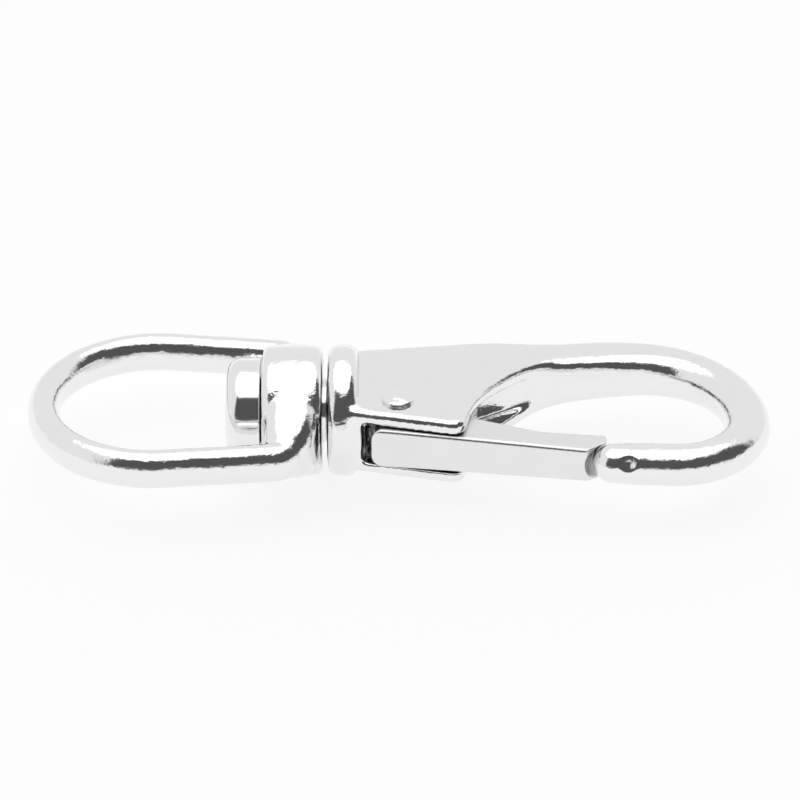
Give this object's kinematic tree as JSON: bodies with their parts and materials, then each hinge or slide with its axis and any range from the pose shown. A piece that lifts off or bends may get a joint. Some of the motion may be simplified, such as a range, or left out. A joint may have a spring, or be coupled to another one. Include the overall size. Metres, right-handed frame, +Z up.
{
  "type": "swivel eye snap hook",
  "caption": "Cast stainless snap hook: a bow-shaped eye turns on a headed pin, and a sprung gate closes the hook.",
  "frame": {"origin": "on the surface the hook lies on, under the middle of its length and width", "axes": "+X along the swivel axis from the eye to the hook, +Y from the gate to the spine, +Z up, across the flat of the hook"},
  "size_m": [0.0999, 0.0344, 0.0178],
  "materials": {
    "polished_casting": "polished cast stainless steel",
    "polished_pin": "polished stainless steel",
    "satin_gate": "satin stainless steel",
    "spring_wire": "drawn wire"
  },
  "bodies": {
    "hook": {"hook_body": "polished_casting", "swivel_pin": "polished_pin", "gate_pin": "polished_pin", "gate_spring": "spring_wire"},
    "eye": {"swivel_eye": "polished_casting"},
    "gate": {"gate": "satin_gate"}
  },
  "joints": [
    {"name": "eye_swivel", "type": "hinge", "parent": "hook", "child": "eye", "pos_m": [-0.0094, 0, 0.0089], "axis": [1, 0, 0], "continuous": true},
    {"name": "gate_pivot", "type": "hinge", "parent": "hook", "child": "gate", "pos_m": [0.00005, -0.0051, 0.0089], "axis": [0, 0, 1], "range_deg": [0, 30], "stiffness_Nm_per_rad": 0.04, "springref_deg": -20.05, "deforming": ["gate_spring"]}
  ]
}
